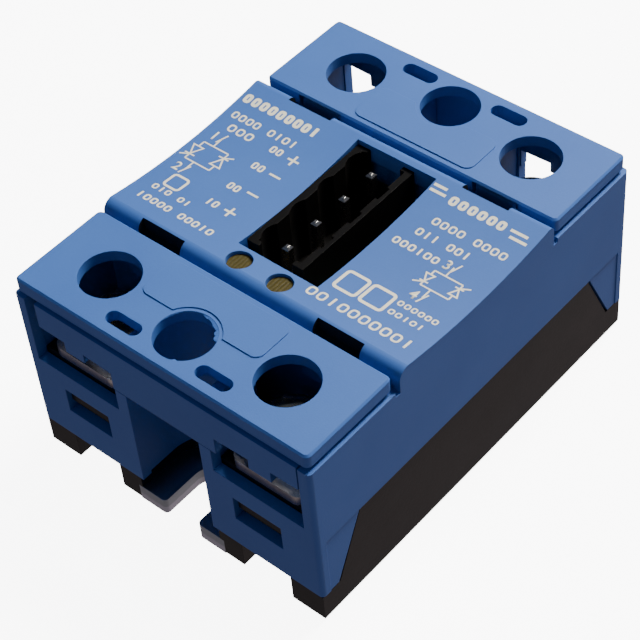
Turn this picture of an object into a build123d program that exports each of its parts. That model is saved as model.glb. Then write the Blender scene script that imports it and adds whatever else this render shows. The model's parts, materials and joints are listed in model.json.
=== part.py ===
import os
from build123d import *

os.makedirs("parts", exist_ok=True)

# Overall sizes, in mm. X is the width, Y the length, Z is up from the mounting face.
body_width = 45.0
body_length = 58.5
body_height = 28.8
half_w = body_width / 2
half_l = body_length / 2

# Clearances.
run_fit = 0.06
loose_fit = 0.35
panel_gap = 0.15

# Levels.
plate_thickness = 2.4
frame_bottom = 0.2
foot_top = 4.2
leg_bottom = 4.4
recess_wall_bottom = 4.9
frame_top = 13.4
sill_top = 16.0
inner_pillar_top = 19.5
cap_bottom = body_height - 2.5
housing_top = cap_bottom - panel_gap
groove_floor = cap_bottom - 0.7
cap_plate_bottom = body_height - 1.7
pad_raise = 0.15
cap_top = body_height - pad_raise

# Positions shared by the stacked pieces.
mount_y = half_l - 5.45
terminal_x = half_w - 9.05
terminal_y = half_l - 7.25
window_mid = half_w - 8.4
saddle_half = half_l - 15.15
groove = 0.78
cap_inner_y = saddle_half + groove
cap_inset = 0.3

# Mounting plate.
plate_half_w = half_w - 2.5
plate_half_l = half_l - 9.75
tongue_half = 6.9
mount_radius = 2.6
plate_setback = 0.15

# Base frame.
frame_half_w = half_w - 0.2
frame_end = half_l - 1.5
foot_end = half_l - 0.15
corner_foot_in = half_w - 5.1
inner_foot_out = 9.9
cavity_half_w = half_w - 3.5
cavity_half_l = saddle_half + 0.9
pillar_back = half_l - 12.35
pillar_in = 7.3
pillar_out = half_w - 1.7
frame_recess_half = 6.3

# Housing shell.
end_wall = 1.4
side_wall = 1.5
recess_half = 5.65
corner_pillar_in = half_w - 1.7
inner_pillar_out = 7.4
leg_face = 0.12
leg_in = half_w - 1.4
leg_room_in = leg_in - 0.1
saddle_sag = 1.0
saddle_round_front = 1.5
saddle_round_back = 0.9
block_wall = 0.85
room_half_w = half_w - 1.6
room_half_l = saddle_half - block_wall
room_top = body_height - 2.6
rear_wall_out = saddle_half + 1.4
snap_in = terminal_x - 3.6
snap_out = terminal_x + 3.6
snap_bottom = 9.2
snap_top = 13.0
slope_top_y = half_l - 7.3
slope_bottom_y = half_l - 2.9

# Hinges of the two end caps.
hinge_y = cap_inner_y + 1.02
hinge_z = body_height - 1.5
hinge_pin_r = 0.36
hinge_lug_r = 0.85
hinge_in = terminal_x - 3.3
hinge_out = terminal_x + 3.3
hinge_side_gap = 0.4
hinge_room_top = body_height - 0.45

# Terminals.
screw_access_r = 3.8
mount_access_r = 3.75
bar_bottom = 16.9
bar_thickness = 1.4
bar_top = bar_bottom + bar_thickness
bar_half = 5.4
bar_front = half_l - 1.35
bar_leg_half = 3.0
bar_leg_t = 1.2
washer_t = 1.0
washer_half = 4.7
screw_head_r = 4.6
screw_head_h = 2.65
screw_r = 2.45
screw_tip = 8.3
nut_half = 4.0
nut_h = 4.0

# Control side.
board_bottom = 14.4
board_top = 16.0
board_half_w = half_w - 2.2
board_half_l = saddle_half - 1.5
opening_x0 = -5.25
opening_x1 = 6.75
opening_y1 = saddle_half - 1.65
opening_y0 = opening_y1 - 21.65
header_x0 = -5.1
header_x1 = 3.4
header_y1 = opening_y1 - 0.05
header_y0 = header_y1 - 20.3
header_top = body_height - 0.8
pin_pitch = 5.08
pin_half = 0.5
pin_x = -1.2
pin_top = header_top - 0.8
pin_ys = [(header_y0 + header_y1) / 2 + (i - 1.5) * pin_pitch for i in range(4)]
led_y = -(saddle_half - 2.7)
led_xs = [-3.1, 3.05]
led_hole_r = 1.62
pipe_top = body_height - 0.8

# Power stack on the mounting plate.
ceramic_in = 1.0
ceramic_out = cavity_half_w - 2.2
ceramic_half_l = saddle_half + 0.5
copper_t = 0.3
ceramic_t = 0.6
ceramic_z = plate_thickness + copper_t
top_copper_z = ceramic_z + ceramic_t
die_z = top_copper_z + copper_t
die_t = 0.4
die_half = 4.0
pad_in = 7.6
gate_x = 6.0
gate_y = 8.0
gate_half = 0.3
resin_top = 8.5

corners = [(-1, -1), (1, -1), (-1, 1), (1, 1)]
ends = [-1, 1]


def save(item, name):
    item.part.label = name
    export_step(item.part, f"parts/{name}.step")


def block(x0, x1, y0, y1, z0, z1, mode=Mode.ADD):
    with Locations(((x0 + x1) / 2, (y0 + y1) / 2, (z0 + z1) / 2)):
        Box(abs(x1 - x0), abs(y1 - y0), abs(z1 - z0), mode=mode)


def trough(half, end, z0, z1, mode):
    """A channel running in from one end with a round inner end."""
    y_mid = end * mount_y
    y_out = end * (half_l + 2.0)
    block(-half, half, y_mid, y_out, z0, z1, mode)
    with Locations((0, y_mid, (z0 + z1) / 2)):
        Cylinder(half, z1 - z0, mode=mode)


# The metal plate that carries the heat: an open slot at the front, a round hole at the rear.
with BuildPart() as baseplate:
    with BuildSketch(Plane.XY):
        Rectangle(2 * plate_half_w, 2 * plate_half_l)
        Rectangle(2 * tongue_half, body_length - 2 * plate_setback)
        with Locations((0, -mount_y)):
            Circle(mount_radius, mode=Mode.SUBTRACT)
        with Locations((0, -mount_y - 5.0)):
            Rectangle(2 * mount_radius, 10.0, mode=Mode.SUBTRACT)
        with Locations((0, mount_y)):
            Circle(mount_radius, mode=Mode.SUBTRACT)
    extrude(amount=plate_thickness)
    mouth = baseplate.edges().filter_by(Axis.Z).filter_by(lambda e: abs(e.center().X) < mount_radius + 0.1)
    mouth = mouth.filter_by(lambda e: e.center().Y < -half_l + 1.0)
    fillet(mouth, radius=0.6)
save(baseplate, "baseplate")


# The black frame: walls round the plate, feet, four terminal pillars and the snap lugs.
with BuildPart() as base_frame:
    block(-frame_half_w, frame_half_w, -frame_end, frame_end, frame_bottom, frame_top)
    for sx, sy in corners:
        block(sx * pillar_in, sx * pillar_out, sy * frame_end, sy * pillar_back, frame_top - 1, bar_bottom)
        block(sx * corner_foot_in, sx * frame_half_w, sy * (frame_end - 1), sy * foot_end,
              frame_bottom, foot_top)
        block(sx * tongue_half, sx * inner_foot_out, sy * (frame_end - 1), sy * foot_end,
              frame_bottom, foot_top)
        block(sx * frame_recess_half, sx * (tongue_half + 0.5), sy * (frame_end - 1), sy * foot_end,
              plate_thickness, foot_top)
    # Seat of the plate and the room for the power stack.
    block(-plate_half_w, plate_half_w, -plate_half_l, plate_half_l, 0, plate_thickness, Mode.SUBTRACT)
    block(-tongue_half, tongue_half, -half_l, half_l, 0, plate_thickness, Mode.SUBTRACT)
    block(-cavity_half_w, cavity_half_w, -cavity_half_l, cavity_half_l, 0, body_height, Mode.SUBTRACT)
    for end in ends:
        trough(frame_recess_half, end, 0, recess_wall_bottom, Mode.SUBTRACT)
        trough(pillar_in, end, recess_wall_bottom, body_height, Mode.SUBTRACT)
    for sx, sy in corners:
        # Hollow between the corner foot and the inner foot.
        block(sx * inner_foot_out, sx * corner_foot_in, sy * (frame_end + 1), sy * (frame_end - 3.2),
              0, foot_top, Mode.SUBTRACT)
        # Channel for the vertical leg of the terminal bar.
        block(sx * (window_mid - bar_leg_half), sx * (window_mid + bar_leg_half),
              sy * pillar_back, sy * (cavity_half_l - 0.5), plate_thickness, body_height, Mode.SUBTRACT)
        # Room for the housing leg on the side face.
        with BuildSketch(Plane.YZ.offset(leg_room_in if sx > 0 else -half_w - 1)):
            with BuildLine():
                Polyline(
                    (sy * (half_l + 1), leg_bottom - 0.2),
                    (sy * (slope_bottom_y - 0.3), leg_bottom - 0.2),
                    (sy * (slope_top_y - 0.3), frame_top),
                    (sy * (slope_top_y - 0.3), frame_top + 1),
                    (sy * (half_l + 1), frame_top + 1),
                    close=True,
                )
            make_face()
        extrude(amount=half_w + 1 - leg_room_in, mode=Mode.SUBTRACT)
        # Nut pocket and screw hole.
        block(sx * terminal_x - nut_half, sx * terminal_x + nut_half, sy * terminal_y - nut_half,
              sy * terminal_y + nut_half, bar_bottom - nut_h, bar_bottom + 1, Mode.SUBTRACT)
        with Locations((sx * terminal_x, sy * terminal_y, (screw_tip - 1 + bar_bottom) / 2)):
            Cylinder(screw_r + loose_fit, bar_bottom - screw_tip + 1, mode=Mode.SUBTRACT)
        # Snap lug with a lead-in ramp below.
        with BuildSketch(Plane.YZ.offset(sx * terminal_x - 3.4)):
            with BuildLine():
                Polyline(
                    (sy * (frame_end - 0.5), snap_bottom + 0.3),
                    (sy * frame_end, snap_bottom + 0.3),
                    (sy * (frame_end + 0.9), snap_bottom + 1.6),
                    (sy * (frame_end + 0.9), snap_top),
                    (sy * (frame_end - 0.5), snap_top),
                    close=True,
                )
            make_face()
        extrude(amount=6.8)
        # Posts that carry the control board.
        block(sx * (cavity_half_w - 1.8), sx * (cavity_half_w + 0.5), sy * (board_half_l - 2.0),
              sy * board_half_l, plate_thickness, board_bottom)
save(base_frame, "base_frame")


def dish_z(y):
    """Height of the dished top of the centre block, one large arc between its two high edges."""
    chord = saddle_half - (saddle_round_front + saddle_round_back) / 2
    middle = (saddle_round_front - saddle_round_back) / 2
    radius = (chord ** 2 + saddle_sag ** 2) / (2 * saddle_sag)
    return body_height - saddle_sag + radius - (radius ** 2 - (y - middle) ** 2) ** 0.5


dish_start = -saddle_half + saddle_round_front
dish_end = saddle_half - saddle_round_back
dish_ys = [dish_start + (dish_end - dish_start) * i / 10 for i in range(11)]


# The blue housing: centre block with a dished top, side walls, four legs and two screw channels.
with BuildPart() as housing:
    with BuildSketch(Plane.YZ.offset(-half_w)):
        with BuildLine():
            Polyline(
                (-saddle_half, body_height - saddle_round_front),
                (-saddle_half, frame_top),
                (saddle_half, frame_top),
                (saddle_half, body_height - saddle_round_back),
            )
            RadiusArc(
                (-saddle_half, body_height - saddle_round_front),
                (-saddle_half + saddle_round_front, body_height),
                saddle_round_front,
            )
            for y0, y1 in zip(dish_ys[:-1], dish_ys[1:]):
                ThreePointArc((y0, dish_z(y0)), ((y0 + y1) / 2, dish_z((y0 + y1) / 2)), (y1, dish_z(y1)))
            RadiusArc(
                (saddle_half - saddle_round_back, body_height),
                (saddle_half, body_height - saddle_round_back),
                saddle_round_back,
            )
        make_face()
    extrude(amount=body_width)
    block(-half_w, half_w, -rear_wall_out, rear_wall_out, frame_top, groove_floor)
    block(-room_half_w, room_half_w, -room_half_l, room_half_l, 0, room_top, Mode.SUBTRACT)
    for sx in ends:
        block(sx * (half_w - side_wall), sx * half_w, -half_l, -saddle_half, frame_top, housing_top)
        block(sx * (half_w - side_wall), sx * half_w, saddle_half, half_l, frame_top, housing_top)
    for end in ends:
        block(-half_w, half_w, end * half_l, end * (half_l - end_wall), leg_bottom, housing_top)
        trough(recess_half + end_wall, end, recess_wall_bottom, housing_top, Mode.ADD)
        block(-half_w - 5, half_w + 5, end * half_l, end * (half_l + 8), 0, body_height, Mode.SUBTRACT)
        trough(recess_half, end, 0, body_height, Mode.SUBTRACT)
        block(-inner_pillar_out, inner_pillar_out, end * (half_l + 1), end * (half_l - 1.3),
              inner_pillar_top, body_height, Mode.SUBTRACT)
        # Groove between the side walls and the centre block.
        block(-half_w, half_w, end * saddle_half, end * (cap_inner_y), groove_floor, body_height,
              Mode.SUBTRACT)
    for sx, sy in corners:
        with BuildSketch(Plane.YZ.offset(leg_in if sx > 0 else leg_face - half_w)):
            with BuildLine():
                Polyline(
                    (sy * half_l, leg_bottom),
                    (sy * slope_bottom_y, leg_bottom),
                    (sy * slope_top_y, frame_top),
                    (sy * half_l, frame_top),
                    close=True,
                )
            make_face()
        extrude(amount=half_w - leg_in - leg_face)
        # Wire entry window and snap window.
        block(sx * inner_pillar_out, sx * corner_pillar_in, sy * (half_l + 1), sy * (half_l - end_wall),
              sill_top, body_height, Mode.SUBTRACT)
        block(sx * snap_in, sx * snap_out, sy * (half_l + 1), sy * (half_l - end_wall - 0.1),
              snap_bottom, snap_top, Mode.SUBTRACT)
        # Hinge lug standing on the rear wall of the terminal room.
        lug_a = sx * terminal_x - 3.3 + hinge_side_gap
        lug_b = sx * terminal_x + 3.3 - hinge_side_gap
        with BuildSketch(Plane.YZ.offset(lug_a)):
            with BuildLine():
                Polyline(
                    (sy * (rear_wall_out - 0.2), groove_floor - 4.0),
                    (sy * (hinge_y + hinge_lug_r), groove_floor - 2.4),
                    (sy * (hinge_y + hinge_lug_r), hinge_z),
                    (sy * (hinge_y - hinge_lug_r), hinge_z),
                    (sy * (hinge_y - hinge_lug_r), groove_floor - 0.5),
                    (sy * (rear_wall_out - 0.2), groove_floor - 0.5),
                    close=True,
                )
            make_face()
        extrude(amount=lug_b - lug_a)
        with Locations(Location(((lug_a + lug_b) / 2, sy * hinge_y, hinge_z), (0, 90, 0))):
            Cylinder(hinge_lug_r, lug_b - lug_a)
            Cylinder(hinge_pin_r + run_fit, lug_b - lug_a + 1, mode=Mode.SUBTRACT)
        # Finger notch in the edge of the centre block.
        block(sx * hinge_in, sx * hinge_out, sy * (saddle_half + 0.5), sy * (saddle_half - 1.1),
              room_top + 0.7, body_height + 1, Mode.SUBTRACT)
    # Openings of the control side.
    block(opening_x0, opening_x1, opening_y0, opening_y1, room_top - 2, body_height + 1, Mode.SUBTRACT)
    for led_x in led_xs:
        with Locations((led_x, led_y, room_top)):
            Cylinder(led_hole_r, 8.0, mode=Mode.SUBTRACT)
    # Soften the long outer corners of the shell.
    uprights = housing.edges().filter_by(Axis.Z)
    uprights = uprights.filter_by(lambda e: abs(abs(e.center().X) - half_w) < 0.02)
    uprights = uprights.filter_by(lambda e: abs(abs(e.center().Y) - half_l) < 0.02 and e.length > 5)
    fillet(uprights, radius=0.6)
save(housing, "housing")


def cap_fascia():
    """Outline of the apron below the cap, with one tongue in each wire entry."""
    top = cap_bottom
    points = [
        (-half_w + 3.4, top),
        (-half_w + 3.4, 22.6),
        (-terminal_x - 1.55, 22.5),
        (-terminal_x - 1.55, 21.0),
        (-terminal_x + 1.5, 21.0),
        (-terminal_x + 1.5, 22.4),
        (-7.55, 22.2),
        (-7.55, inner_pillar_top + 0.1),
        (8.3, inner_pillar_top + 0.1),
        (8.3, 22.1),
        (terminal_x - 0.1, 22.3),
        (terminal_x - 0.1, 20.8),
        (terminal_x + 3.15, 20.8),
        (terminal_x + 3.15, 22.5),
        (half_w - 1.9, 22.6),
        (half_w - 1.9, top),
    ]
    return points


# The front cap: plate with access holes, raised pad, rim, apron and four hinge pins.
with BuildPart() as front_cap:
    cap_y0 = -half_l + cap_inset
    cap_y1 = -cap_inner_y
    cap_mid = (cap_y0 + cap_y1) / 2
    cap_half_w = half_w - cap_inset - 0.05
    with BuildSketch(Plane.XY.offset(cap_bottom)):
        with Locations((0, cap_mid)):
            RectangleRounded(2 * cap_half_w, cap_y1 - cap_y0, 0.7)
    extrude(amount=cap_top - cap_bottom)
    rim = 1.3
    block(-cap_half_w + rim, cap_half_w - rim, cap_y0 + rim, cap_y1 - rim, cap_bottom - 1,
          cap_plate_bottom, Mode.SUBTRACT)
    top_edges = front_cap.edges().group_by(Axis.Z)[-1]
    chamfer(top_edges, length=0.25)
    rear_low = front_cap.edges().filter_by(Axis.X).filter_by(lambda e: abs(e.center().Z - cap_bottom) < 0.01)
    rear_low = rear_low.filter_by(lambda e: e.center().Y > cap_y1 - 0.1)
    chamfer(rear_low, length=0.5)
    with BuildSketch(Plane.XY.offset(cap_top - 0.05)):
        with Locations((0, -(cap_inner_y + 3.9))):
            RectangleRounded(18.0, 6.0, 1.2)
        with Locations((0, -mount_y)):
            Circle(mount_access_r + 0.5, mode=Mode.SUBTRACT)
    extrude(amount=pad_raise + 0.05)
    with BuildSketch(Plane.XZ.offset(half_l)):
        with BuildLine():
            Polyline(*cap_fascia(), close=True)
        make_face()
    extrude(amount=-1.1)
    with BuildSketch(Plane.XY.offset(cap_bottom - 1)):
        with Locations((-terminal_x, -terminal_y), (terminal_x, -terminal_y)):
            Circle(screw_access_r)
        with Locations((0, -mount_y)):
            Circle(mount_access_r)
        with Locations((-6.83, -(half_l - 2.72)), (6.83, -(half_l - 2.72))):
            SlotOverall(5.06, 1.94)
    extrude(amount=body_height, mode=Mode.SUBTRACT)
    for sx in ends:
        pocket_a = sx * terminal_x - 3.3
        pocket_b = sx * terminal_x + 3.3
        block(pocket_a, pocket_b, -(hinge_y + 1.25), -cap_inner_y + 0.5, cap_bottom - 1, hinge_room_top,
              Mode.SUBTRACT)
        for x0, x1 in ((pocket_a - 0.4, pocket_a + 1.2), (pocket_b - 1.2, pocket_b + 0.4)):
            with Locations(Location(((x0 + x1) / 2, -hinge_y, hinge_z), (0, 90, 0))):
                Cylinder(hinge_pin_r, x1 - x0)
save(front_cap, "front_cap")

with BuildPart() as rear_cap:
    add(front_cap.part.rotate(Axis.Z, 180))
save(rear_cap, "rear_cap")


# Four terminals: bar, clamp washer and screw each; the nuts share one file.
for number, (sx, sy) in enumerate(corners, start=1):
    with BuildPart() as terminal_bar:
        mid = sx * window_mid
        block(mid - bar_half, mid + bar_half, sy * pillar_back, sy * bar_front, bar_bottom, bar_top)
        block(mid - bar_leg_half, mid + bar_leg_half, sy * (pillar_back - bar_leg_t), sy * pillar_back,
              die_z, bar_top)
        block(mid - bar_leg_half, mid + bar_leg_half, sy * (ceramic_half_l - 1.2),
              sy * (pillar_back - bar_leg_t), die_z, die_z + bar_leg_t)
        with Locations((sx * terminal_x, sy * terminal_y, bar_bottom)):
            Cylinder(screw_r + loose_fit, 6.0, mode=Mode.SUBTRACT)
        front = terminal_bar.edges().filter_by(Axis.Z)
        front = front.filter_by(lambda e: abs(abs(e.center().Y) - bar_front) < 0.01)
        fillet(front, radius=1.5)
    save(terminal_bar, f"terminal_bar_{number}")

    with BuildPart() as clamp_washer:
        with BuildSketch(Plane.XY.offset(bar_top)):
            with Locations((sx * terminal_x, sy * terminal_y)):
                RectangleRounded(2 * washer_half, 2 * washer_half, 1.2)
                Circle(screw_r + run_fit, mode=Mode.SUBTRACT)
        extrude(amount=washer_t)
    save(clamp_washer, f"clamp_washer_{number}")

    with BuildPart() as terminal_screw:
        head_z = bar_top + washer_t
        with Locations((sx * terminal_x, sy * terminal_y, head_z + screw_head_h / 2)):
            Cylinder(screw_head_r, screw_head_h)
        crown = terminal_screw.edges().group_by(Axis.Z)[-1]
        fillet(crown, radius=1.1)
        with Locations((sx * terminal_x, sy * terminal_y, (screw_tip + head_z) / 2)):
            Cylinder(screw_r, head_z - screw_tip)
        tip = terminal_screw.edges().group_by(Axis.Z)[0]
        chamfer(tip, length=0.6)
        cross_z = head_z + screw_head_h
        for angle in (0, 90):
            with BuildSketch(Plane.XY.offset(cross_z)):
                with Locations(Location((sx * terminal_x, sy * terminal_y, 0), (0, 0, angle))):
                    Rectangle(5.0, 1.1)
            extrude(amount=-1.9, taper=12, mode=Mode.SUBTRACT)
    save(terminal_screw, f"terminal_screw_{number}")

with BuildPart() as terminal_nuts:
    for sx, sy in corners:
        block(sx * terminal_x - nut_half, sx * terminal_x + nut_half, sy * terminal_y - nut_half,
              sy * terminal_y + nut_half, bar_bottom - nut_h, bar_bottom)
        with Locations((sx * terminal_x, sy * terminal_y, bar_bottom - nut_h / 2)):
            Cylinder(screw_r + run_fit, nut_h + 1, mode=Mode.SUBTRACT)
save(terminal_nuts, "terminal_nuts")


# Shroud of the plug-in control connector.
with BuildPart() as control_header:
    block(header_x0, header_x1, header_y0, header_y1, board_top, header_top)
    block(header_x0 + 1.1, header_x1 - 0.9, header_y0 + 0.7, header_y1 - 0.7, board_top + 3.0,
          header_top + 1, Mode.SUBTRACT)
    # The ends are cut down between the corner returns.
    block(header_x0 + 1.8, header_x1 - 1.6, header_y0 - 1, header_y1 + 1, header_top - 4.5,
          header_top + 1, Mode.SUBTRACT)
    for y in pin_ys:
        with Locations((header_x0 + 2.95, y, header_top)):
            Cylinder(2.35, 18.0, mode=Mode.SUBTRACT)
        block(pin_x - pin_half, pin_x + pin_half, y - pin_half, y + pin_half, board_top - 1,
              header_top, Mode.SUBTRACT)
    for y0, y1 in zip(pin_ys[:-1], pin_ys[1:]):
        mid = (y0 + y1) / 2
        block(header_x1 - 1.0, header_x1 - 0.5, mid - 1.1, mid + 1.1, header_top - 1.0, header_top + 1,
              Mode.SUBTRACT)
save(control_header, "control_header")

with BuildPart() as header_pins:
    for y in pin_ys:
        block(pin_x - pin_half, pin_x + pin_half, y - pin_half, y + pin_half, board_bottom - 1.4, pin_top)
    tips = header_pins.edges().group_by(Axis.Z)[-1]
    chamfer(tips, length=0.3)
save(header_pins, "header_pins")

with BuildPart() as control_board:
    block(-board_half_w, board_half_w, -board_half_l, board_half_l, board_bottom, board_top)
    for y in pin_ys:
        block(pin_x - pin_half, pin_x + pin_half, y - pin_half, y + pin_half, board_bottom - 1,
              board_top + 1, Mode.SUBTRACT)
    for sx, sy in corners:
        block(sx * gate_x - gate_half, sx * gate_x + gate_half, sy * gate_y - gate_half,
              sy * gate_y + gate_half, board_bottom - 1, board_top + 1, Mode.SUBTRACT)
save(control_board, "control_board")

# Light pipe with two columns, standing on the board over the two indicator diodes.
with BuildPart() as light_pipe:
    for led_x in led_xs:
        with Locations((led_x, led_y, (board_top + 1.1 + pipe_top) / 2)):
            Cylinder(led_hole_r - run_fit, pipe_top - board_top - 1.1)
    block(-6.0, 6.0, led_y - 0.6, led_y + 0.6, 21.5, 23.0)
    block(-6.0, -5.2, led_y - 0.6, led_y + 0.6, board_top, 23.0)
    block(5.2, 6.0, led_y - 0.6, led_y + 0.6, board_top, 23.0)
save(light_pipe, "light_pipe")

with BuildPart() as status_leds:
    for led_x in led_xs:
        block(led_x - 1.0, led_x + 1.0, led_y - 0.65, led_y + 0.65, board_top, board_top + 0.8)
save(status_leds, "status_leds")

with BuildPart() as optocouplers:
    for x in (-13.0, 12.0):
        block(x - 3.2, x + 3.2, -8.2, -0.8, board_top + 0.4, board_top + 3.8)
        for dy in (-2.54, 0, 2.54):
            for sx in ends:
                block(x + sx * 3.2, x + sx * 3.8, -4.5 + dy - 0.25, -4.5 + dy + 0.25, board_top,
                      board_top + 2.2)
save(optocouplers, "optocouplers")

with BuildPart() as snubber_capacitors:
    for x in (-13.0, 12.0):
        block(x - 2.2, x + 2.2, 1.2, 10.2, board_top, board_top + 8.0)
save(snubber_capacitors, "snubber_capacitors")

with BuildPart() as chip_resistors:
    for x in (-18.0, -8.0, 7.25, 17.5):
        for y in (-2.0, 3.0, 8.0):
            block(x - 0.8, x + 0.8, y - 1.6, y + 1.6, board_top, board_top + 0.6)
save(chip_resistors, "chip_resistors")


# Power stack: one ceramic tile per switching channel, copper on both faces.
with BuildPart() as bottom_copper:
    for sx in ends:
        block(sx * (ceramic_in + 0.5), sx * (ceramic_out - 0.5), -ceramic_half_l + 0.5,
              ceramic_half_l - 0.5, plate_thickness, ceramic_z)
save(bottom_copper, "bottom_copper")

for name, sx in (("ceramic_tile_a", -1), ("ceramic_tile_b", 1)):
    with BuildPart() as tile:
        block(sx * ceramic_in, sx * ceramic_out, -ceramic_half_l, ceramic_half_l, ceramic_z, top_copper_z)
    save(tile, name)

with BuildPart() as top_copper:
    for sx, sy in corners:
        block(sx * pad_in, sx * (ceramic_out - 0.4), sy * 0.4, sy * (ceramic_half_l - 0.4),
              top_copper_z, die_z)
        block(sx * (gate_x - 1.0), sx * (gate_x + 1.0), sy * (gate_y - 1.2), sy * (gate_y + 1.2),
              top_copper_z, die_z)
save(top_copper, "top_copper")

die_x = pad_in + 0.5 + die_half
with BuildPart() as thyristor_dies:
    for sx, sy in corners:
        block(sx * (die_x - die_half), sx * (die_x + die_half), sy * 1.6, sy * (1.6 + 2 * die_half),
              die_z, die_z + die_t)
save(thyristor_dies, "thyristor_dies")

with BuildPart() as cathode_clips:
    for sx in ends:
        for sy, lane in ((-1, -2.0), (1, 2.0)):
            x0 = sx * (die_x + lane) - 1.4
            block(x0, x0 + 2.8, sy * 7.5, -sy * 1.3, die_z + die_t, die_z + die_t + 0.5)
            block(x0, x0 + 2.8, -sy * 0.5, -sy * 1.3, die_z, die_z + die_t + 0.5)
save(cathode_clips, "cathode_clips")

with BuildPart() as gate_leads:
    for sx, sy in corners:
        block(sx * gate_x - gate_half, sx * gate_x + gate_half, sy * gate_y - gate_half,
              sy * gate_y + gate_half, die_z, board_top + 0.8)
save(gate_leads, "gate_leads")

with BuildPart() as potting_resin:
    block(-cavity_half_w, cavity_half_w, -cavity_half_l, cavity_half_l, plate_thickness, resin_top)
    for sx, sy in corners:
        block(sx * (cavity_half_w - 1.8), sx * (cavity_half_w + 0.5), sy * (board_half_l - 2.0),
              sy * board_half_l, plate_thickness, resin_top, Mode.SUBTRACT)
        mid = sx * window_mid
        block(mid - bar_leg_half, mid + bar_leg_half, sy * (ceramic_half_l - 1.2),
              sy * (cavity_half_l + 1), die_z, die_z + bar_leg_t, Mode.SUBTRACT)
        block(mid - bar_leg_half, mid + bar_leg_half, sy * (pillar_back - bar_leg_t),
              sy * (cavity_half_l + 1), die_z, resin_top, Mode.SUBTRACT)
        block(sx * gate_x - gate_half, sx * gate_x + gate_half, sy * gate_y - gate_half,
              sy * gate_y + gate_half, die_z, resin_top, Mode.SUBTRACT)
        block(sx * ceramic_in, sx * ceramic_out, sy * 0, sy * ceramic_half_l, ceramic_z,
              top_copper_z, Mode.SUBTRACT)
        block(sx * (ceramic_in + 0.5), sx * (ceramic_out - 0.5), 0, sy * (ceramic_half_l - 0.5),
              plate_thickness, ceramic_z, Mode.SUBTRACT)
        block(sx * pad_in, sx * (ceramic_out - 0.4), sy * 0.4, sy * (ceramic_half_l - 0.4),
              top_copper_z, die_z, Mode.SUBTRACT)
        block(sx * (gate_x - 1.0), sx * (gate_x + 1.0), sy * (gate_y - 1.2), sy * (gate_y + 1.2),
              top_copper_z, die_z, Mode.SUBTRACT)
        block(sx * (die_x - die_half), sx * (die_x + die_half), sy * 1.6, sy * (1.6 + 2 * die_half),
              die_z, die_z + die_t, Mode.SUBTRACT)
    for sx in ends:
        for sy, lane in ((-1, -2.0), (1, 2.0)):
            x0 = sx * (die_x + lane) - 1.4
            block(x0, x0 + 2.8, sy * 7.5, -sy * 1.3, die_z + die_t, die_z + die_t + 0.5, Mode.SUBTRACT)
            block(x0, x0 + 2.8, -sy * 0.5, -sy * 1.3, die_z, die_z + die_t + 0.5, Mode.SUBTRACT)
save(potting_resin, "potting_resin")
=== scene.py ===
import json
import math
import random

import bmesh
import bpy
from mathutils import Matrix, Vector
from mathutils.bvhtree import BVHTree

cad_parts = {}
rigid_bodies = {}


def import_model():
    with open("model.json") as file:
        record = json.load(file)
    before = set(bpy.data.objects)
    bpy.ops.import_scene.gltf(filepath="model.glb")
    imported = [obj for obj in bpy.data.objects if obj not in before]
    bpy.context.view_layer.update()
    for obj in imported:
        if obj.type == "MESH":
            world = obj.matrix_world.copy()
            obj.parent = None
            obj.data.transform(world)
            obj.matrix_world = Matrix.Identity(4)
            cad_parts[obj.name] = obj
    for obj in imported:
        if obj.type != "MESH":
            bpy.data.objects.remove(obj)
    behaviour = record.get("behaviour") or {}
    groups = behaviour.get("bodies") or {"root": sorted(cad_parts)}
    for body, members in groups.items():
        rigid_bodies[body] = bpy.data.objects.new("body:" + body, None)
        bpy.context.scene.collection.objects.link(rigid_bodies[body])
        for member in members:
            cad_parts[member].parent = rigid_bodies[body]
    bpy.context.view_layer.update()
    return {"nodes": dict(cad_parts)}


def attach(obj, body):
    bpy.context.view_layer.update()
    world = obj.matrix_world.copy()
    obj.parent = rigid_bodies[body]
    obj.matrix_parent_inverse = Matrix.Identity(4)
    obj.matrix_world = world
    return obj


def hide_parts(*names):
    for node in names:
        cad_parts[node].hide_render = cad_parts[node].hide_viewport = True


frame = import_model()
nodes = frame["nodes"]
mm = 0.001
print("stage: frame loaded,", len(nodes), "nodes")


class Wire:  # one node socket that takes part in sums
    def __init__(self, book, socket):
        self.book = book
        self.socket = socket

    def maths(self, operation, other=None, swap=False):
        sides = (other, self) if swap else (self, other)
        inputs = {0: sides[0]}
        if other is not None:
            inputs[1] = sides[1]
        return self.book.node("ShaderNodeMath", {"operation": operation}, inputs)

    def __add__(self, other):
        return self.maths("ADD", other)

    __radd__ = __add__

    def __sub__(self, other):
        return self.maths("SUBTRACT", other)

    def __rsub__(self, other):
        return self.maths("SUBTRACT", other, True)

    def __mul__(self, other):
        return self.maths("MULTIPLY", other)

    __rmul__ = __mul__

    def __truediv__(self, other):
        return self.maths("DIVIDE", other)

    def above(self, other):
        return self.maths("GREATER_THAN", other)

    def within(self, low, high):  # 1 between the two values, else 0
        return self.above(low) * (1.0 - self.above(high))

    def wave(self):
        return self.maths("SINE")

    def size(self):
        return self.maths("ABSOLUTE")

    def held(self, low, high):  # spreads low..high over 0..1 and stops there
        return self.book.node("ShaderNodeMapRange", {"clamp": True},
                              {0: self, 1: low, 2: high, 3: 0.0, 4: 1.0})


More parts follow.
